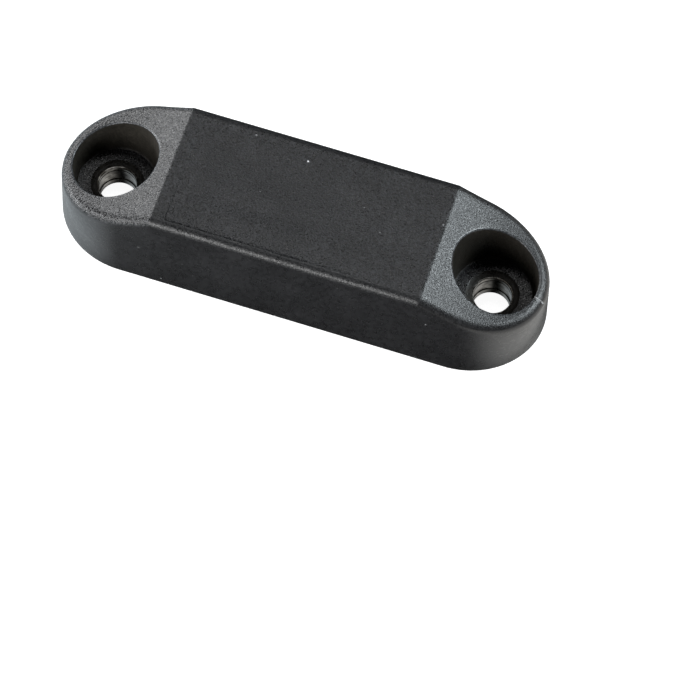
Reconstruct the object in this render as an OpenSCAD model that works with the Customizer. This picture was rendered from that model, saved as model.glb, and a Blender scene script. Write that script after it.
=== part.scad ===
// Screw-down wheel chock: a solid moulded block with a flat top, two ends that
// slope down to rounded noses, and a deep screw pocket in each end. Each pocket
// ends on a steel bush moulded into the block, which takes the screw's load.
// Origin: middle of the base. X runs along the block, Z up.

/* [Block] */
// Length of the base over both rounded ends
base_length = 115.6; // [112:0.2:124]
// Width of the base
base_width = 34.6; // [33:0.2:40]
// Height of the flat top above the base
body_height = 25; // [23:0.5:30]
// Inward lean of the walls: millimetres for each millimetre of height
wall_draft = 0.045; // [0.005:0.005:0.08]

/* [Sloped ends] */
// Distance from the middle to the break where each slope starts
slope_start = 31.5; // [29:0.5:32]
// Steepness just past the break: fall for each millimetre along the block
slope_fall = 0.5; // [0.35:0.01:0.55]
// How much the slope is hollowed towards the tip
slope_hollow = 0.0055; // [0:0.0005:0.007]
// Half length of the rounding over the break
break_round = 2; // [0.5:0.5:2.5]

/* [Top panel] */
// Depth of the shallow recess in the flat top
panel_depth = 0.3; // [0.1:0.1:0.6]
// Gap from the left break to the recess
panel_gap_left = 3; // [2.5:0.5:5]
// Gap from the right break to the recess
panel_gap_right = 2.5; // [2.5:0.5:5]
// Width of the raised lip left along each long edge
panel_lip = 2.2; // [1.5:0.1:4]

/* [Screw pockets] */
// Distance between the two fixing holes
hole_spacing = 90; // [88:0.5:92]
// Diameter of each pocket at its floor
pocket_floor_d = 18.8; // [17:0.2:19]
// Outward lean of the pocket wall: millimetres for each millimetre of height
pocket_draft = 0.055; // [0.02:0.005:0.07]
// Height of the pocket floor above the base
pocket_floor_z = 7.8; // [7.6:0.1:9]

/* [Bushes] */
// Outside diameter of the moulded-in steel bush
bush_d = 12; // [11.5:0.1:13]
// Bore of the bush, the clearance hole for the fixing screw
bush_bore_d = 8.7; // [8.4:0.1:9]
// Height of the bush, whose lower end is flush with the base
bush_height = 7.3; // [6.5:0.1:7.5]
// Width of the chamfer at both ends of the bore
bush_chamfer = 0.2; // [0.2:0.05:0.5]
// Width of the steel left bare round the bore by the moulded collar
collar_gap = 0.15; // [0.1:0.05:0.3]
// Diameter of the dished collar where it meets the pocket floor
collar_d = 12.1; // [11:0.1:14]

/* [Hidden] */

half_length = base_length / 2;
half_width = base_width / 2;
nose_x = half_length - half_width;
hole_x = hole_spacing / 2;
bore_r = bush_bore_d / 2;
bare_r = bore_r + bush_chamfer + collar_gap;
top_half_width = half_width - wall_draft * body_height;
over = 1;
round_fn = 96;
break_steps = 4;
slope_steps = 6;

moulding_black = [0.12, 0.12, 0.13];
bush_grey = [0.62, 0.63, 0.65];

// Height of the top surface at distance x from the middle.
function top_z(x) =
    let (d = abs(x) - slope_start)
    d < -break_round ? body_height
    : d < break_round
        ? body_height - slope_fall * pow(d + break_round, 2) / (4 * break_round)
    : body_height - slope_fall * d + slope_hollow * pow(d - break_round, 2);

// Places along one half where the top surface has a corner.
break_x = [for (i = [0 : break_steps])
    slope_start + break_round * (2 * i / break_steps - 1)];
slope_end = half_length + over;
slope_x = [for (i = [1 : slope_steps])
    let (start = slope_start + break_round)
    start + i * (slope_end - start) / slope_steps];
half_x = concat(break_x, slope_x);
last = len(half_x) - 1;

// Upright block with leaning walls and round ends, before its top is shaped.
module drafted_blank() {
    for (x = [-nose_x, nose_x])
        translate([x, 0, 0])
            cylinder(r1 = half_width, r2 = top_half_width, h = body_height,
                $fn = round_fn);
    rotate([90, 0, 90])
        linear_extrude(height = 2 * nose_x, center = true)
            polygon([
                [-half_width, 0], [half_width, 0],
                [top_half_width, body_height], [-top_half_width, body_height]
            ]);
}

// Side view of the block: flat, break and hollow slope, the same at both ends.
module side_view() {
    right = [for (i = [0 : last]) [half_x[last - i], top_z(half_x[last - i])]];
    left = [for (x = half_x) [-x, top_z(x)]];
    base = [[-slope_end, -over], [slope_end, -over]];
    rotate([90, 0, 0])
        linear_extrude(height = base_width + 2 * over, center = true)
            polygon(concat(right, left, base));
}

// Shallow recess in the flat top, between the two breaks.
module top_panel() {
    x0 = -slope_start + panel_gap_left;
    x1 = slope_start - panel_gap_right;
    y1 = top_half_width - panel_lip;
    translate([x0, -y1, body_height - panel_depth])
        cube([x1 - x0, 2 * y1, panel_depth + over]);
}

// Leaning pocket over a fixing hole. Below its floor a collar slopes in over the
// shoulder of the bush, and below that is the seat that holds the bush.
module screw_pocket() {
    top = body_height + over;
    floor_r = pocket_floor_d / 2;
    rotate_extrude($fn = round_fn)
        polygon([
            [0, -over],
            [bush_d / 2, -over],
            [bush_d / 2, bush_height],
            [bare_r, bush_height],
            [collar_d / 2, pocket_floor_z],
            [floor_r, pocket_floor_z],
            [floor_r + pocket_draft * (top - pocket_floor_z), top],
            [0, top]
        ]);
}

module body() {
    color(moulding_black)
    difference() {
        intersection() {
            drafted_blank();
            side_view();
        }
        top_panel();
        for (x = [-hole_x, hole_x])
            translate([x, 0, 0]) screw_pocket();
    }
}

// Plain steel bush, chamfered at both ends of its bore.
module bush(x) {
    translate([x, 0, 0])
    rotate_extrude($fn = round_fn)
        polygon([
            [bore_r + bush_chamfer, 0],
            [bush_d / 2, 0],
            [bush_d / 2, bush_height],
            [bore_r + bush_chamfer, bush_height],
            [bore_r, bush_height - bush_chamfer],
            [bore_r, bush_chamfer]
        ]);
}

module bush_left() {
    color(bush_grey) bush(-hole_x);
}

module bush_right() {
    color(bush_grey) bush(hole_x);
}

body();
bush_left();
bush_right();
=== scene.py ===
# %% [markdown]
# # Screw-down wheel chock
# A low moulded block that is screwed to a ramp, a floor or a frame rail, where it stops a wheel. It is one
# solid rubber-like moulding with a flat top, two sloped ends and a deep screw pocket in each end. A steel
# bush sits at the bottom of each pocket and takes the load of the screw.
# The imported CAD model is loaded first and stays the fixed frame. Its box is kept, and hidden at the end.

# %% Load the frame
import math

import bmesh
import bpy
from mathutils import Matrix, Vector


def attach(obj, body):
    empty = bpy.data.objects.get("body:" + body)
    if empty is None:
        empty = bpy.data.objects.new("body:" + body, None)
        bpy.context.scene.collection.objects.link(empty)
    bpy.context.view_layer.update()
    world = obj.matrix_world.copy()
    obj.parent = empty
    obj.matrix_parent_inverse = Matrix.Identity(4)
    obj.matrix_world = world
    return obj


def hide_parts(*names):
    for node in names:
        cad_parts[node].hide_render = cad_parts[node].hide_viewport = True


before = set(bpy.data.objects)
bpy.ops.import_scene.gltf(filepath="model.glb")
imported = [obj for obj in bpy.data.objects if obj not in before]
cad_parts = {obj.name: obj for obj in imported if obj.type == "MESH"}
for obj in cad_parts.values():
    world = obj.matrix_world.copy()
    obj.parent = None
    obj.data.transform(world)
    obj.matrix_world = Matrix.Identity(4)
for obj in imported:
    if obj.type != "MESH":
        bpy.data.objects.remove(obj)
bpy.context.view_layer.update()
MM = 0.001
print("CAD nodes:", sorted(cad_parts))

# %% [markdown]
# ## Camera
# The camera looks steeply down from the front and a little from the right, through a long lens, so the block
# hardly narrows with distance. It could be turned with a constraint that tracks an empty. Here its direction
# is worked out from two angles and a roll, which keeps the whole view in four plain values.

# %% Camera
VIEW_AZIMUTH = math.radians(15.007)
VIEW_ELEVATION = math.radians(64.350)
VIEW_ROLL = math.radians(3.088)
VIEW_TARGET = Vector((17.616, -19.897, 0.0)) * MM
VIEW_DISTANCE = 773.84 * MM
LENS_LENGTH = 175.22
SENSOR_WIDTH = 36

level = math.cos(VIEW_ELEVATION)
backward = Vector((
    math.sin(VIEW_AZIMUTH) * level,
    -math.cos(VIEW_AZIMUTH) * level,
    math.sin(VIEW_ELEVATION),
))
bpy.ops.object.camera_add(location=VIEW_TARGET + backward * VIEW_DISTANCE)
camera = bpy.context.object
camera.rotation_mode = "QUATERNION"
camera.rotation_quaternion = (
    backward.to_track_quat("Z", "Y") @ Matrix.Rotation(VIEW_ROLL, 3, "Z").to_quaternion()
)
camera.data.lens = LENS_LENGTH
camera.data.sensor_width = SENSOR_WIDTH
bpy.context.scene.camera = camera
print("camera at, mm:", [round(v / MM, 1) for v in camera.location])

# %% [markdown]
# ## Helpers for modelling by hand
# A hand modeller clicks on the vertices or faces to work on. Here a test on their place does the clicking.
# Everything is deselected first, since an operator acts on all that is selected, and the loaded nodes are
# still selected when the file starts.

# %% Selecting by place
NEAR = 0.002 * MM


def fresh():
    """Leaves edit mode and deselects everything."""
    if bpy.context.object and bpy.context.object.mode == "EDIT":
        bpy.ops.object.mode_set(mode="OBJECT")
    bpy.ops.object.select_all(action="DESELECT")


def pick(test, kind="VERT"):
    """In edit mode, selects only the vertices, edges or faces whose place passes the test."""
    bpy.ops.mesh.select_mode(type=kind)
    bpy.ops.mesh.select_all(action="DESELECT")
    cage = bmesh.from_edit_mesh(bpy.context.object.data)
    if kind == "FACE":
        for face in cage.faces:
            if test(face.calc_center_median() / MM, face.normal):
                face.select_set(True)
    elif kind == "EDGE":
        for edge in cage.edges:
            if all(test(vertex.co / MM) for vertex in edge.verts):
                edge.select_set(True)
    else:
        for vertex in cage.verts:
            if test(vertex.co / MM):
                vertex.select_set(True)
    bmesh.update_edit_mesh(bpy.context.object.data)


def move(x=0.0, y=0.0, z=0.0):
    """Moves what is selected, in millimetres."""
    bpy.ops.transform.translate(value=(x * MM, y * MM, z * MM))


def stretch(factors, centre):
    """Scales what is selected about a point given in millimetres."""
    bpy.ops.transform.resize(value=factors, center_override=[v * MM for v in centre])


# %% [markdown]
# ## The block
# The real block is one moulding with leaning walls, so that it leaves the mould, and with a soft edge all
# round its top. Seen from above it is a bar with two round noses, and the noses are a little longer than
# half circles. Only one half is modelled, from the middle to the tip, and a mirror makes the other.
# It could be cut from a solid with booleans, but a bevel on the many slivers that booleans leave would
# never run clean. So the outline is drawn first and pulled up ring by ring, and every ring keeps the
# same number of points, which gives tidy quads over the wall, the soft edge and the sloped end.

# %% Outline of the base
TOP = 25.0
BASE = dict(nose=39.0, reach=18.8, half=17.3)
SHOULDER = dict(nose=39.28, reach=18.14, half=16.08)
RIM = dict(nose=39.3, reach=16.15, half=14.0)
HOLE = 45.0
BREAK = 31.46
BREAK_ROUND = 0.4
LAND_START = BREAK + BREAK_ROUND
PANEL_LEFT, PANEL_RIGHT = -28.5, 30.66
SIDE_STEPS = 8
COLUMN_STEP = 1.5
COLUMNS = 20
BAR_COLUMNS = (BREAK, BREAK - BREAK_ROUND, PANEL_RIGHT) + tuple(
    -PANEL_LEFT - COLUMN_STEP * i for i in range(COLUMNS))
NOSE_POINTS = 160

fresh()
bpy.ops.mesh.primitive_circle_add(vertices=NOSE_POINTS, radius=BASE["half"] * MM,
                                  location=(BASE["nose"] * MM, 0, 0))
block = bpy.context.object
block.name = "moulded_block"
bpy.ops.object.transform_apply(location=True)
bpy.ops.object.mode_set(mode="EDIT")
stretch((BASE["reach"] / BASE["half"], 1, 1), (BASE["nose"], 0, 0))
pick(lambda p: p.x < BASE["nose"] - 0.01)
bpy.ops.mesh.delete(type="VERT")
pick(lambda p: p.x < BASE["nose"] + 0.01)
side_step = (BASE["nose"] - LAND_START) / SIDE_STEPS
columns = [BASE["nose"] - side_step * (i + 1) for i in range(SIDE_STEPS)] + list(BAR_COLUMNS)
here = BASE["nose"]
for column in columns:
    bpy.ops.mesh.extrude_region_move(TRANSFORM_OT_translate={"value": ((column - here) * MM, 0, 0)})
    here = column
print("outline points:", len(bmesh.from_edit_mesh(block.data).verts))

# %% [markdown]
# ### Wall and soft edge
# The outline is extruded upward. Each new ring is drawn in to its own outline: two short pulls for the small
# round at the foot, one long one for the leaning wall, and six short ones round a quarter circle for the soft
# edge. A bevel could round the edge afterwards, but rings that are drawn one by one keep their number of
# points, which the bridges count on.

# %% Pull the wall up
FOOT_ROUND = 0.3
FOOT_SHARE, FOOT_RISE = 0.7, 0.3
EDGE_ROUND = 2.0
EDGE_STEPS = 6


def between(a, b, share):
    """Outline that lies that share of the way from a to b."""
    return {key: a[key] + (b[key] - a[key]) * share for key in a}


def redraw(old, new, z):
    """Turns the ring that lies at height z from its old outline into the new one."""
    pick(lambda p: abs(p.z - z) < 0.001)
    stretch((1, new["half"] / old["half"], 1), (0, 0, z))
    pick(lambda p: abs(p.z - z) < 0.001 and p.x > old["nose"] - 0.01)
    stretch((new["reach"] / old["reach"], 1, 1), (old["nose"], 0, z))
    move(x=new["nose"] - old["nose"])


def pull_up(old, new, z_old, z_new):
    """Extrudes the ring at z_old up to z_new and gives it its new outline."""
    pick(lambda p: abs(p.z - z_old) < 0.001, "EDGE")
    bpy.ops.mesh.extrude_region_move(TRANSFORM_OT_translate={"value": (0, 0, (z_new - z_old) * MM)})
    redraw(old, new, z_new)


foot = dict(BASE, reach=BASE["reach"] - FOOT_ROUND, half=BASE["half"] - FOOT_ROUND)
redraw(BASE, foot, 0.0)
ankle = between(foot, BASE, FOOT_SHARE)
pull_up(foot, ankle, 0.0, FOOT_RISE * FOOT_ROUND)
pull_up(ankle, BASE, FOOT_RISE * FOOT_ROUND, FOOT_ROUND)
pull_up(BASE, SHOULDER, FOOT_ROUND, TOP - EDGE_ROUND)
ring, height = SHOULDER, TOP - EDGE_ROUND
for i in range(EDGE_STEPS):
    turn = math.radians(90) * (i + 1) / EDGE_STEPS
    next_ring = between(SHOULDER, RIM, 1 - math.cos(turn))
    next_height = TOP - EDGE_ROUND + EDGE_ROUND * math.sin(turn)
    pull_up(ring, next_ring, height, next_height)
    ring, height = next_ring, next_height
print("wall and edge faces:", len(bmesh.from_edit_mesh(block.data).faces))

# %% [markdown]
# ### Top and underside of the bar
# The front and back edges of the bar are bridged across, at the top and at the base. A plain fill would close
# them too, but with one big face. The bridge is cut into 32 strips, so that the top has enough points for the
# shallow hollows that come later.

# %% Bridge the bar
STRIPS = 32


def bridge_bar(z, half):
    """Closes the bar across, between its front and back edges at height z."""
    pick(lambda p: abs(p.z - z) < 0.001 and p.x < LAND_START + 0.01 and abs(p.y) > half - 0.01, "EDGE")
    bpy.ops.mesh.bridge_edge_loops(type="SINGLE", number_cuts=STRIPS - 1, interpolation="LINEAR")


bridge_bar(TOP, RIM["half"])
bridge_bar(0.0, foot["half"])
print("faces with the bar closed:", len(bmesh.from_edit_mesh(block.data).faces))

# %% [markdown]
# ### Screw pocket
# The pocket is a deep round cup for the screw's head. Its wall leans outward, its mouth and its floor corner
# are slightly rounded, and a dished collar runs down over the shoulder of the bush. A spin of a drawn
# profile would give the same shape. Here one ring is pulled inward and down step by step, so its 128
# points match the 128 points round the end of the block, and one bridge joins the two.

# %% Pull the pocket down
POCKET_POINTS = 128
ROUND_STEPS = 4
MOUTH_ROUND = 0.35
WALL_TOP = 9.93
WALL_FOOT = 9.37
FLOOR = 7.8
FLOOR_ROUND = 0.5
COLLAR = 6.06
BUSH_R = 6.0
BUSH_TOP = 7.3

pocket_rings = [(WALL_TOP + MOUTH_ROUND, TOP)]
for i in range(1, ROUND_STEPS + 1):
    turn = math.radians(90) * i / ROUND_STEPS
    pocket_rings.append((WALL_TOP + MOUTH_ROUND * (1 - math.sin(turn)),
                         TOP - MOUTH_ROUND * (1 - math.cos(turn))))
for i in range(ROUND_STEPS + 1):
    turn = math.radians(90) * i / ROUND_STEPS
    pocket_rings.append((WALL_FOOT - FLOOR_ROUND * (1 - math.cos(turn)),
                         FLOOR + FLOOR_ROUND * (1 - math.sin(turn))))
collar_shoulder = [(COLLAR + 0.16, FLOOR), (COLLAR + 0.04, FLOOR - 0.03), (COLLAR - 0.06, FLOOR - 0.14)]
collar_dish = [(5.4, 7.51), (4.95, 7.41), (4.76, 7.36), (4.7, BUSH_TOP)]
bush_seat = [(BUSH_R, BUSH_TOP), (BUSH_R, 0.0)]
pocket_rings += collar_shoulder + collar_dish + bush_seat

radius, height = pocket_rings[0]
bpy.ops.mesh.select_all(action="DESELECT")
bpy.ops.mesh.primitive_circle_add(vertices=POCKET_POINTS, radius=radius * MM,
                                  location=(HOLE * MM, 0, height * MM))
for next_radius, next_height in pocket_rings[1:]:
    bpy.ops.mesh.extrude_region_move(
        TRANSFORM_OT_translate={"value": (0, 0, (next_height - height) * MM)})
    stretch((next_radius / radius, next_radius / radius, 1), (HOLE, 0, next_height))
    radius, height = next_radius, next_height


def away(p):
    """Distance from the pocket's axis."""
    return math.hypot(p.x - HOLE, p.y)


def bridge_end(z, outline, circle_radius, rings):
    """Joins the ring round the pocket's axis to the edge of the end, at height z."""
    def on_edge(p):
        arc = math.hypot((p.x - outline["nose"]) / outline["reach"], p.y / outline["half"])
        side = abs(abs(p.y) - outline["half"]) < 0.01
        nose = p.x > outline["nose"] - 0.01 and abs(arc - 1) < 0.002
        return side or nose or abs(p.x - LAND_START) < 0.01

    pick(lambda p: abs(p.z - z) < 0.001 and p.x > LAND_START - 0.01
         and (on_edge(p) or abs(away(p) - circle_radius) < 0.005), "EDGE")
    bpy.ops.mesh.bridge_edge_loops(type="SINGLE", number_cuts=rings, interpolation="LINEAR")


LAND_RINGS = 7
BASE_RINGS = 1
bridge_end(TOP, RIM, WALL_TOP + MOUTH_ROUND, LAND_RINGS)
bridge_end(0.0, foot, BUSH_R, BASE_RINGS)
print("faces of the half block:", len(bmesh.from_edit_mesh(block.data).faces))
bpy.ops.object.mode_set(mode="OBJECT")

# %% [markdown]
# ### Sloped end
# The top falls away past the break and is slightly hollow towards the tip. Each vertex could be moved down
# by hand, but a lattice does it evenly: only the upper points of this cage are pulled down, so the soft edge
# and the pocket's mouth sink with the slope while the base and the pocket's floor stay where they are.

# %% Lower the end with a lattice
FALL = 0.5
HOLLOW = 0.0055
CAGE_X = (29.46, 59.46)
CAGE_Z = (8.5, 20.0)
CAGE_DEPTH = 40
CAGE_POINTS = 61


def drop(x):
    """How far the top has fallen at distance x from the middle."""
    past = x - BREAK
    return 0.0 if past <= 0 else FALL * past - HOLLOW * past ** 2


fresh()
bpy.ops.object.add(type="LATTICE")
cage = bpy.context.object
cage.data.points_u, cage.data.points_v, cage.data.points_w = CAGE_POINTS, 2, 2
for axis in "uvw":
    setattr(cage.data, "interpolation_type_" + axis, "KEY_LINEAR")
span = [max(p.co[i] for p in cage.data.points) - min(p.co[i] for p in cage.data.points) for i in range(3)]
size = ((CAGE_X[1] - CAGE_X[0]) * MM, CAGE_DEPTH * MM, (CAGE_Z[1] - CAGE_Z[0]) * MM)
cage.scale = [size[i] / span[i] for i in range(3)]
cage.location = (sum(CAGE_X) / 2 * MM, 0, sum(CAGE_Z) / 2 * MM)
for point in cage.data.points:
    x = (cage.location.x + point.co.x * cage.scale.x) / MM
    if point.co.z > 0:
        point.co_deform.z -= drop(x) * MM / cage.scale.z
fresh()
bpy.context.view_layer.objects.active = block
block.select_set(True)
lower = block.modifiers.new("lower_the_end", "LATTICE")
lower.object = cage
bpy.ops.object.modifier_apply(modifier="lower_the_end")
bpy.data.objects.remove(cage)
tip = max(block.data.vertices, key=lambda v: v.co.x)
print("tip of the base, mm:", [round(v / MM, 2) for v in tip.co])

# %% [markdown]
# ### The other half
# A mirror makes the second half and joins it along the middle. The half could also be copied, turned and
# joined by hand, and the modifier does all three. The doubles are merged, and then the normals are
# recalculated, so that every face points outward.

# %% Mirror
mirror = block.modifiers.new("other_half", "MIRROR")
mirror.use_axis[0] = True
mirror.use_mirror_merge = True
mirror.merge_threshold = NEAR
bpy.ops.object.modifier_apply(modifier="other_half")
bpy.ops.object.mode_set(mode="EDIT")
bpy.ops.mesh.select_all(action="SELECT")
bpy.ops.mesh.remove_doubles(threshold=NEAR)
bpy.ops.mesh.normals_make_consistent(inside=False)

# %% [markdown]
# ### Panel and hollows of the top
# The flat top has a very shallow sunken panel that stops short of the two breaks. Its edge is a narrow
# channel, deepest along the front and fading out towards the back and the right. A thick moulding also
# shrinks as it cools, which leaves broad, faint hollows and a low crest in front of them. The panel could be
# cut with a boolean. Two insets of the flat faces keep clean quads instead, as long as both together are
# narrower than one strip of the top. The hollows are pressed in with proportional editing, the way a thumb
# would press them. The crest is what stays up between two rows of pressed places, so nothing rises above
# the top.

# %% Panel and hollows
PANEL = dict(half=13.6, channel=0.2, depth=0.06, slant=0.3, ramp=0.5, left_slant=0.05)
FADE_BACK = 1.5
FADE_RIGHT = 0.95

pick(lambda p, n: p.z > TOP - 0.01 and n.z > 0.9 and PANEL_LEFT < p.x < PANEL_RIGHT
     and abs(p.y) < PANEL["half"], "FACE")
bpy.ops.mesh.inset(thickness=PANEL["slant"] * MM, depth=-PANEL["channel"] * MM)
bpy.ops.mesh.inset(thickness=PANEL["ramp"] * MM, depth=(PANEL["channel"] - PANEL["depth"]) * MM)
for vertex in bmesh.from_edit_mesh(block.data).verts:
    place = vertex.co / MM
    sunk = TOP - place.z
    if abs(place.x) < PANEL_RIGHT and abs(place.y) < RIM["half"] and 0.05 < sunk < 0.4:
        along = (place.x - PANEL_LEFT) / (PANEL_RIGHT - PANEL_LEFT)
        across = (place.y + PANEL["half"]) / (2 * PANEL["half"])
        share = max(0.0, 1 - across) ** FADE_BACK * (1 - FADE_RIGHT * along ** 2)
        vertex.co.z = (TOP - sunk * share) * MM
bmesh.update_edit_mesh(block.data)
pick(lambda p: abs(p.x - PANEL_LEFT - PANEL["slant"]) < 0.01 and p.z > TOP - 0.5)
move(x=PANEL["left_slant"] - PANEL["slant"])


def press(x, y, depth, reach):
    """Presses the top in at its point nearest to x and y, fading out over the reach."""
    tops = [v.co / MM for v in bmesh.from_edit_mesh(block.data).verts if v.co.z > (TOP - 1) * MM]
    nearest = min(tops, key=lambda p: math.hypot(p.x - x, p.y - y))
    pick(lambda p: (p - nearest).length < 0.001)
    bpy.ops.transform.translate(value=(0, 0, -depth * MM), use_proportional_edit=True,
                                proportional_edit_falloff="SMOOTH", proportional_size=reach * MM)


HOLLOWS = ((-18, 3, 0.26, 11), (-8, 2, 0.24, 11), (4, 1, 0.18, 11), (15, 0, 0.1, 10))
CREST_HEIGHTS = ((-22, 0.2), (-18, 0.3), (-14, 0.34), (-10, 0.34), (-6, 0.3), (-2, 0.24), (2, 0.18),
                 (6, 0.13), (10, 0.09), (14, 0.05))
CREST_SIDES = ((-5.2, 0.6, 4.4), (-13.1, 0.4, 2.6))
for x, y, depth, reach in HOLLOWS:
    press(x, y, depth, reach)
for x, height in CREST_HEIGHTS:
    for y, part, reach in CREST_SIDES:
        press(x, y, part * height, reach)
highest = max(v.co.z for v in bmesh.from_edit_mesh(block.data).verts)
print("highest point of the top, mm:", round(highest / MM, 3))

# %% [markdown]
# ### Weld line
# In the mould the rubber flows round each pocket core, and where the two streams meet again at the tip they
# leave a fine raised line across the rim. A thin bead could be laid on the rim as its own piece, but it would
# show a seam. Here three parallel cuts with bisect give the rim points for the line, and its middle points
# are then raised.

# %% Weld line
WELD_HEADING = -10.0
WELD_START, WELD_END = 10.0, 12.2
WELD_HALF = 0.2
WELD_HEIGHT = 0.2
RIM_LOW = 11
CUT_LENGTH, CUT_WIDTH = 0.6, 1.2

outward = Vector((math.cos(math.radians(WELD_HEADING)), math.sin(math.radians(WELD_HEADING)), 0))
sideways = Vector((-outward.y, outward.x, 0))
pocket_axis = Vector((HOLE, 0, 0))


def on_rim(p, spare, width):
    """Whether p lies on the right rim along the weld line, with that much to spare at its ends."""
    flat = p - pocket_axis
    inside = WELD_START - spare < flat.dot(outward) < WELD_END + spare
    return inside and abs(flat.dot(sideways)) < width and p.z > RIM_LOW


for offset in (-WELD_HALF, 0.0, WELD_HALF):
    pick(lambda p, n: on_rim(p, CUT_LENGTH, CUT_WIDTH) and n.z > 0.1, "FACE")
    bpy.ops.mesh.bisect(plane_co=(pocket_axis + sideways * offset) * MM, plane_no=sideways)
pick(lambda p: on_rim(p, 0, 2 * NEAR / MM))
bpy.ops.transform.shrink_fatten(value=WELD_HEIGHT * MM)
print("weld points raised:", block.data.total_vert_sel)
bpy.ops.object.mode_set(mode="OBJECT")
print("block faces:", len(block.data.polygons),
      "triangles:", sum(len(p.vertices) - 2 for p in block.data.polygons))

# %% [markdown]
# ## Bushes
# Each bush is a turned steel tube that the block is moulded round. A turner faces both ends, breaks the
# edges of the bore, cuts a fine groove near its upper end and leaves a shallow relief in the middle. It could
# be built from cylinders and booleans. A spin is the modeller's lathe: the profile is drawn as one closed
# line and turned round the hole's axis. Both bushes come from the same function.

# %% Turn a bush
BORE = 4.35
BROKEN_EDGE = 0.2
GAP = 0.01
GROOVE = BORE + 0.14
RELIEF = BORE + 0.22
OUTSIDE_LINE = (
    (BORE + BROKEN_EDGE, 0.0), (BUSH_R - GAP, 0.0), (BUSH_R - GAP, BUSH_TOP - GAP),
    (BORE + BROKEN_EDGE, BUSH_TOP - GAP), (BORE + 0.05, BUSH_TOP - 0.07), (BORE, BUSH_TOP - BROKEN_EDGE),
)
BORE_LINE = (
    (BORE, 6.35), (GROOVE, 6.2), (GROOVE, 6.05), (BORE, 5.9), (BORE, 4.75), (RELIEF, 4.5),
    (RELIEF, 2.1), (BORE, 1.85), (BORE, BROKEN_EDGE), (BORE + 0.05, 0.07),
)
BUSH_PROFILE = OUTSIDE_LINE + BORE_LINE
BUSH_STEPS = 96


def turned_bush(name, x):
    """A steel bush whose axis stands at x."""
    fresh()
    radius, z = BUSH_PROFILE[0]
    bpy.ops.mesh.primitive_plane_add(size=MM, location=(x * MM, 0, 0))
    piece = bpy.context.object
    piece.name = name
    bpy.ops.object.transform_apply(location=True)
    bpy.ops.object.mode_set(mode="EDIT")
    bpy.ops.mesh.merge(type="CENTER")
    move(x=radius, z=z)
    for next_radius, next_z in BUSH_PROFILE[1:] + BUSH_PROFILE[:1]:
        bpy.ops.mesh.extrude_region_move(
            TRANSFORM_OT_translate={"value": ((next_radius - radius) * MM, 0, (next_z - z) * MM)})
        radius, z = next_radius, next_z
    bpy.ops.mesh.select_all(action="SELECT")
    bpy.ops.mesh.remove_doubles(threshold=NEAR)
    bpy.ops.mesh.select_all(action="SELECT")
    bpy.ops.mesh.spin(steps=BUSH_STEPS, angle=math.radians(360), center=(x * MM, 0, 0), axis=(0, 0, 1))
    bpy.ops.mesh.select_all(action="SELECT")
    bpy.ops.mesh.remove_doubles(threshold=NEAR)
    bpy.ops.mesh.normals_make_consistent(inside=False)
    bpy.ops.object.mode_set(mode="OBJECT")
    bpy.ops.object.shade_smooth_by_angle(angle=math.radians(30))
    return piece


bush_right = turned_bush("turned_bush_right", HOLE)
bush_left = turned_bush("turned_bush_left", -HOLE)
print("bush faces:", len(bush_right.data.polygons), len(bush_left.data.polygons))

# %% [markdown]
# ## Materials
# The block is one black material with the grain that the mould gave it: fine and matt on the top, coarser on
# the sloped ends, smooth on the walls and plain deep in the pockets. The rest is chosen for the look in this
# light and need not hold for the real block: the left end sparkles more than the right one, partly through
# painted glints in its grain, the pockets' mouths and the weld line are lighter, which is a painted
# highlight, and the pockets' insides are a lighter black, which is painted light. Image textures could show
# all this, but they need an unwrapped mesh. Noise on object coordinates has no seams, and one function builds
# all seven finishes, so that they stay one family.

# %% Black moulding finishes
def add_node(tree, kind, **values):
    """Adds a node, sets its properties and its input values by name."""
    node = tree.nodes.new(kind)
    for key, value in values.pop("props", {}).items():
        setattr(node, key, value)
    for key, value in values.items():
        node.inputs[key.replace("_", " ")].default_value = value
    return node


PATCH_SIZE = 9
DUST_SPACING = 2.6
DUST_TONE = (0.35, 0.35, 0.36, 1)


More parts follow.
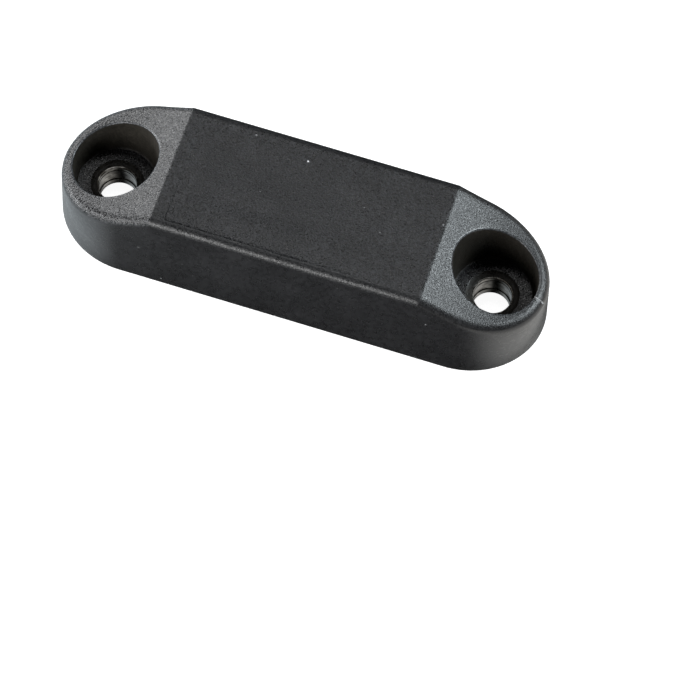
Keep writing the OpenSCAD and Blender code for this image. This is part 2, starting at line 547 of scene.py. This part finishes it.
def moulded_black(name, tone, roughness, grain, grain_height, rough_swing, mottle_glint_pit_shade, specks, specular=0.5):
    """Black moulded skin. grain is the size of its grain and grain_height its depth, in millimetres.
    rough_swing is how far its roughness changes from grain to grain. The next argument is how far its tone
    changes with the same grain: partly random tone, partly a painted glint on each raised grain and painted
    shade in each pit. specks is the share of places that hold a speck of dust."""
    material = bpy.data.materials.new(name)
    material.use_nodes = True
    tree = material.node_tree
    shader = tree.nodes["Principled BSDF"]
    shader.inputs["Specular IOR Level"].default_value = specular
    place = tree.nodes.new("ShaderNodeTexCoord")
    link = tree.links.new

    fine = add_node(tree, "ShaderNodeTexNoise", Scale=1 / (grain * MM), Detail=2.0, Roughness=0.6)
    broad = add_node(tree, "ShaderNodeTexNoise", Scale=1 / (PATCH_SIZE * MM), Detail=3.0, Roughness=0.5)
    link(place.outputs["Object"], fine.inputs["Vector"])
    link(place.outputs["Object"], broad.inputs["Vector"])

    dust = add_node(tree, "ShaderNodeTexVoronoi", Scale=1 / (DUST_SPACING * MM))
    link(place.outputs["Object"], dust.inputs["Vector"])
    split = tree.nodes.new("ShaderNodeSeparateColor")
    link(dust.outputs["Color"], split.inputs["Color"])
    chosen = add_node(tree, "ShaderNodeMapRange", From_Min=1 - specks, From_Max=1.0)
    link(split.outputs["Red"], chosen.inputs["Value"])
    spot = add_node(tree, "ShaderNodeMapRange", From_Min=0.05, From_Max=0.11, To_Min=1.0, To_Max=0.0)
    link(dust.outputs["Distance"], spot.inputs["Value"])
    speck = add_node(tree, "ShaderNodeMath", props={"operation": "MULTIPLY"})
    link(chosen.outputs["Result"], speck.inputs[0])
    link(spot.outputs["Result"], speck.inputs[1])

    shade = add_node(tree, "ShaderNodeValToRGB")
    shade.color_ramp.elements[0].position = 0.3
    shade.color_ramp.elements[0].color = (*[v * 0.8 for v in tone], 1)
    shade.color_ramp.elements[1].position = 0.7
    shade.color_ramp.elements[1].color = (*[v * 1.2 for v in tone], 1)
    link(broad.outputs["Fac"], shade.inputs["Fac"])
    dusted = tree.nodes.new("ShaderNodeMix")
    dusted.data_type = "RGBA"
    colour_in = [s for s in dusted.inputs if s.type == "RGBA"]
    colour_in[1].default_value = DUST_TONE
    link(speck.outputs["Value"], dusted.inputs["Factor"])
    link(shade.outputs["Color"], colour_in[0])
    # The noise that raises the grain also scales the tone: partly random tone, partly a painted glint on each
    # raised grain and painted shade in each pit.
    glint_pit_shade_tone = add_node(tree, "ShaderNodeMapRange", From_Min=0.42, From_Max=0.72,
                      To_Min=1 - 0.5 * mottle_glint_pit_shade, To_Max=1 + 2.5 * mottle_glint_pit_shade)
    link(fine.outputs["Fac"], glint_pit_shade_tone.inputs["Value"])
    toned = add_node(tree, "ShaderNodeVectorMath", props={"operation": "SCALE"})
    link([s for s in dusted.outputs if s.type == "RGBA"][0], toned.inputs[0])
    link(glint_pit_shade_tone.outputs["Result"], toned.inputs["Scale"])
    link(toned.outputs["Vector"], shader.inputs["Base Color"])

    gloss = add_node(tree, "ShaderNodeMapRange", From_Min=0.36, From_Max=0.64,
                     To_Min=roughness - rough_swing, To_Max=roughness + rough_swing)
    link(fine.outputs["Fac"], gloss.inputs["Value"])
    link(gloss.outputs["Result"], shader.inputs["Roughness"])

    relief = add_node(tree, "ShaderNodeBump", Strength=1.0, Distance=grain_height * MM)
    link(fine.outputs["Fac"], relief.inputs["Height"])
    link(relief.outputs["Normal"], shader.inputs["Normal"])
    return material


BLACK = (0.012, 0.012, 0.0128)
POCKET_LIGHTENED_BLACK = (0.0165, 0.0145, 0.0112)
MOUTH_HIGHLIGHT_BLACK = (0.045, 0.047, 0.05)
WELD_HIGHLIGHT_GREY = (0.33, 0.34, 0.35)
# The tone swing of each finish below is partly random tone and partly painted glints on raised grains and
# painted shade in pits, most on the left end.
top_skin = moulded_black("black_fine_grain", BLACK, roughness=0.37, grain=0.40, grain_height=0.12,
                         rough_swing=0.17, mottle_glint_pit_shade=0.9, specks=0.12)
left_skin = moulded_black("black_sparkle_grain", BLACK, roughness=0.26, grain=0.46, grain_height=0.15,
                          rough_swing=0.15, mottle_glint_pit_shade=1.6, specks=0.12)
right_skin = moulded_black("black_satin_grain", BLACK, roughness=0.38, grain=0.34, grain_height=0.07,
                           rough_swing=0.12, mottle_glint_pit_shade=0.3, specks=0.05)
wall_skin = moulded_black("black_smooth_wall", BLACK, roughness=0.30, grain=1.1, grain_height=0.012,
                          rough_swing=0.04, mottle_glint_pit_shade=0.12, specks=0.10)
# The pockets take a warmer and lighter black than the rest of the moulding; the lighter tone is painted light
# on their shaded insides.
pocket_skin = moulded_black("black_pocket", POCKET_LIGHTENED_BLACK, roughness=0.55, grain=0.6, grain_height=0.10,
                            rough_swing=0.06, mottle_glint_pit_shade=0.3, specks=0.02, specular=0.3)
# The pockets' mouths take a lighter black, a painted highlight along their rounded edge.
mouth_highlight_skin = moulded_black("black_mouth_painted_highlight", MOUTH_HIGHLIGHT_BLACK, roughness=0.24, grain=0.5, grain_height=0.03,
                          rough_swing=0.08, mottle_glint_pit_shade=0.5, specks=0.02)
# The weld line takes a light grey, a painted highlight on the raised line.
weld_highlight_skin = moulded_black("grey_weld_painted_highlight", WELD_HIGHLIGHT_GREY, roughness=0.3, grain=0.4, grain_height=0.02,
                          rough_swing=0.08, mottle_glint_pit_shade=0.3, specks=0.02)
skins = (top_skin, left_skin, wall_skin, pocket_skin, right_skin, mouth_highlight_skin, weld_highlight_skin)
for skin in skins:
    block.data.materials.append(skin)
print("block finishes:", [m.name for m in block.data.materials])

# %% [markdown]
# Each face gets the finish of the mould surface that formed it, by its place: inside a pocket, on a mouth, on
# the flat top, on a sloped end or its soft edge, and the rest is wall. On the mouths and on the weld line
# that finish is a lighter tone, a painted highlight. A hand modeller would select the faces and press Assign.
# A rule about place and slope does the same, and it goes on working if a size changes.

# %% Give each face its finish
LEVEL = 0.95
LEANING = 0.6
STEEP = 0.35
WELD_SPAN = 1.0


def finish(p, n):
    """The skin of a face at p whose normal is n."""
    from_axis = math.hypot(abs(p.x) - HOLE, p.y)
    above_base = p.z > 0.01
    if above_base and from_axis < WALL_TOP - 0.05:
        return top_skin if n.z > LEVEL and from_axis > COLLAR else pocket_skin
    # Mouth faces get the lighter black, a painted highlight.
    if above_base and from_axis < WALL_TOP + MOUTH_ROUND - 0.03:
        return mouth_highlight_skin
    if n.z < STEEP:
        return wall_skin
    if p.x < -BREAK:
        return left_skin
    if p.x > BREAK:
        past_weld = WELD_HEADING - math.degrees(math.atan2(p.y, p.x - HOLE))
        # The weld line's faces get the light grey, a painted highlight.
        if 0 < past_weld < WELD_SPAN and p.z > RIM_LOW and WELD_START < from_axis < WELD_END:
            return weld_highlight_skin
        return right_skin if n.z > LEANING else wall_skin
    return right_skin if abs(p.y) > RIM["half"] else top_skin


for face in block.data.polygons:
    face.material_index = skins.index(finish(face.center / MM, face.normal))
fresh()
bpy.context.view_layer.objects.active = block
block.select_set(True)
bpy.ops.object.shade_smooth_by_angle(angle=math.radians(35))
for i, skin in enumerate(skins):
    print(skin.name, "faces:", sum(f.material_index == i for f in block.data.polygons))

# %% [markdown]
# The bushes are plated steel with fine turning marks. They could be an image of brushed metal. Here a noise
# that is stretched across the bore makes the rings, and a little unevenness in the tone and the gloss keeps
# them from looking like chrome.

# %% Bush steel
# The steel's tone runs from near black to a mid grey, both far darker than bare steel, and it sets how dark
# the bores look.
DARK_STEEL_TONE = (0.045, 0.041, 0.035, 1)
LIGHT_STEEL_TONE = (0.34, 0.33, 0.31, 1)
RING_SPACING = 0.25
BLOTCH_SIZE = 2.0
RING_DEPTH = 0.02


def turned_steel(name):
    """Dull plated steel with fine turning marks."""
    material = bpy.data.materials.new(name)
    material.use_nodes = True
    tree = material.node_tree
    shader = tree.nodes["Principled BSDF"]
    shader.inputs["Metallic"].default_value = 1.0
    place = tree.nodes.new("ShaderNodeTexCoord")
    squeeze = tree.nodes.new("ShaderNodeMapping")
    squeeze.inputs["Scale"].default_value = (0.12, 0.12, 1.0)
    marks = add_node(tree, "ShaderNodeTexNoise", Scale=1 / (RING_SPACING * MM), Detail=3.0)
    blotches = add_node(tree, "ShaderNodeTexNoise", Scale=1 / (BLOTCH_SIZE * MM), Detail=2.0)
    link = tree.links.new
    link(place.outputs["Object"], squeeze.inputs["Vector"])
    link(squeeze.outputs["Vector"], marks.inputs["Vector"])
    link(place.outputs["Object"], blotches.inputs["Vector"])
    shade = add_node(tree, "ShaderNodeValToRGB")
    shade.color_ramp.elements[0].position = 0.45
    shade.color_ramp.elements[0].color = DARK_STEEL_TONE
    shade.color_ramp.elements[1].position = 0.7
    shade.color_ramp.elements[1].color = LIGHT_STEEL_TONE
    blend = add_node(tree, "ShaderNodeMath", props={"operation": "MULTIPLY_ADD"})
    blend.inputs[1].default_value = 0.5
    link(blotches.outputs["Fac"], blend.inputs[0])
    half = add_node(tree, "ShaderNodeMath", props={"operation": "MULTIPLY"})
    half.inputs[1].default_value = 0.5
    link(marks.outputs["Fac"], half.inputs[0])
    link(half.outputs["Value"], blend.inputs[2])
    link(blend.outputs["Value"], shade.inputs["Fac"])
    link(shade.outputs["Color"], shader.inputs["Base Color"])
    gloss = add_node(tree, "ShaderNodeMapRange", To_Min=0.18, To_Max=0.42)
    link(marks.outputs["Fac"], gloss.inputs["Value"])
    link(gloss.outputs["Result"], shader.inputs["Roughness"])
    relief = add_node(tree, "ShaderNodeBump", Strength=1.0, Distance=RING_DEPTH * MM)
    link(marks.outputs["Fac"], relief.inputs["Height"])
    link(relief.outputs["Normal"], shader.inputs["Normal"])
    return material


bush_steel = turned_steel("plated_steel")
for bush in (bush_left, bush_right):
    bush.data.materials.append(bush_steel)
print("bush finish:", bush_left.active_material.name)

# %% [markdown]
# ## Stage and light
# The block lies on a pale floor. A white floor of plain paper would throw a hard grey shadow and would look
# grey through the two holes, so this one glows, like the lit table that small parts are laid on.
# It is kept out of the reflections, and the studio round the block is dim in front and brighter at the sides.

# %% Floor
fresh()
bpy.ops.mesh.primitive_plane_add(size=6.0, location=(0, 0, 0))
floor = bpy.context.object
floor.name = "pale_floor"
floor.visible_glossy = False
paper = bpy.data.materials.new("lit_paper")
paper.use_nodes = True
paper_shader = paper.node_tree.nodes["Principled BSDF"]
paper_shader.inputs["Base Color"].default_value = (0.6, 0.6, 0.6, 1)
paper_shader.inputs["Roughness"].default_value = 0.9
paper_shader.inputs["Specular IOR Level"].default_value = 0.0
paper_shader.inputs["Emission Color"].default_value = (1, 1, 1, 1)
paper_shader.inputs["Emission Strength"].default_value = 0.93
floor.data.materials.append(paper)
print("floor:", floor.name)

# %% Studio round the block
UPPER_GLOW = 0.014
FRONT_GLOW = 0.004
LEFT_GLOW = 0.95
RIGHT_GLOW = 1.2
LEFT_TINT = (0.86, 0.95, 1.0, 1)
RIGHT_TINT = (1.0, 0.985, 0.95, 1)

world = bpy.data.worlds.new("studio")
world.use_nodes = True
studio = world.node_tree
bearing = studio.nodes.new("ShaderNodeTexCoord")
parts = studio.nodes.new("ShaderNodeSeparateXYZ")
left_glow = add_node(studio, "ShaderNodeMapRange", props={"interpolation_type": "SMOOTHSTEP"},
                     From_Min=-0.14, From_Max=-0.5, To_Min=FRONT_GLOW, To_Max=LEFT_GLOW)
right_glow = add_node(studio, "ShaderNodeMapRange", props={"interpolation_type": "SMOOTHSTEP"},
                      From_Min=0.1, From_Max=0.5, To_Min=0.0, To_Max=RIGHT_GLOW)
side_glow = add_node(studio, "ShaderNodeMath", props={"operation": "ADD"})
below = add_node(studio, "ShaderNodeMapRange", props={"interpolation_type": "SMOOTHSTEP"},
                 From_Min=0.05, From_Max=-0.15)
strength = studio.nodes.new("ShaderNodeMix")
strength.inputs["A"].default_value = UPPER_GLOW
join = studio.links.new
join(bearing.outputs["Generated"], parts.inputs["Vector"])
join(parts.outputs["X"], left_glow.inputs["Value"])
join(parts.outputs["X"], right_glow.inputs["Value"])
join(left_glow.outputs["Result"], side_glow.inputs[0])
join(right_glow.outputs["Result"], side_glow.inputs[1])
join(parts.outputs["Z"], below.inputs["Value"])
join(below.outputs["Result"], strength.inputs["Factor"])
join(side_glow.outputs["Value"], strength.inputs["B"])
join(strength.outputs["Result"], studio.nodes["Background"].inputs["Strength"])
tint = add_node(studio, "ShaderNodeValToRGB")
tint.color_ramp.elements[0].color = LEFT_TINT
tint.color_ramp.elements[1].color = RIGHT_TINT
across = add_node(studio, "ShaderNodeMapRange", From_Min=-0.5, From_Max=0.5)
join(parts.outputs["X"], across.inputs["Value"])
join(across.outputs["Result"], tint.inputs["Fac"])
join(tint.outputs["Color"], studio.nodes["Background"].inputs["Color"])
bpy.context.scene.world = world
bpy.context.scene.view_settings.view_transform = "Standard"
print("studio glow, left and right:", LEFT_GLOW, RIGHT_GLOW)

# %% [markdown]
# Six soft panels give the block its form. The ones behind it, left and right, are what the sloped ends
# mirror, so the ends look lighter than the top. A steep one behind lights the top a little. Two from the left
# light the soft edge of the left end and the wall under it, and one in front draws the light line along the
# front edge. One large lamp would be simpler, but a dark block shows little more than what it mirrors.

# %% Soft panels
COOL = (0.98, 0.99, 1)
COOLER = (0.96, 0.98, 1)
SKY = (0.88, 0.96, 1)
WHITE = (1, 1, 1)


def soft_panel(name, azimuth, elevation, distance, width, height, power, colour):
    """A soft light panel that faces the block from that direction, in degrees, metres and watts."""
    flat = math.cos(math.radians(elevation))
    direction = Vector((math.sin(math.radians(azimuth)) * flat, -math.cos(math.radians(azimuth)) * flat,
                        math.sin(math.radians(elevation))))
    bpy.ops.object.light_add(type="AREA", location=direction * distance)
    panel = bpy.context.object
    panel.name = name
    panel.rotation_euler = direction.to_track_quat("Z", "Y").to_euler()
    panel.data.shape = "RECTANGLE"
    panel.data.size = width
    panel.data.size_y = height
    panel.data.energy = power
    panel.data.color = colour
    return panel


soft_panel("panel_left", azimuth=-120, elevation=25, distance=1.2, width=0.7, height=0.34, power=6.8,
           colour=COOL)
soft_panel("panel_right", azimuth=116, elevation=36, distance=1.2, width=0.65, height=0.4, power=13,
           colour=SKY)
soft_panel("panel_lip", azimuth=-56, elevation=24, distance=1.2, width=0.4, height=0.26, power=3,
           colour=COOL)
soft_panel("panel_low_left", azimuth=-84, elevation=3, distance=1.2, width=0.9, height=0.12, power=8,
           colour=COOLER)
soft_panel("panel_top", azimuth=-165, elevation=71, distance=1.0, width=0.4, height=0.26, power=1.3,
           colour=WHITE)
soft_panel("panel_front", azimuth=-22, elevation=22, distance=0.6, width=0.4, height=0.26, power=3.2,
           colour=WHITE)

# %% [markdown]
# ## Joining the frame
# Nothing on the chock moves, so every piece rides on the one body, and the CAD node that each piece stands
# for is hidden.

# %% Ride and replace
for piece, node, slot_name in ((block, "body", "moulding"), (bush_left, "bush_left", "bush_steel"),
                               (bush_right, "bush_right", "bush_steel")):
    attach(piece, "root")
    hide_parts(node)
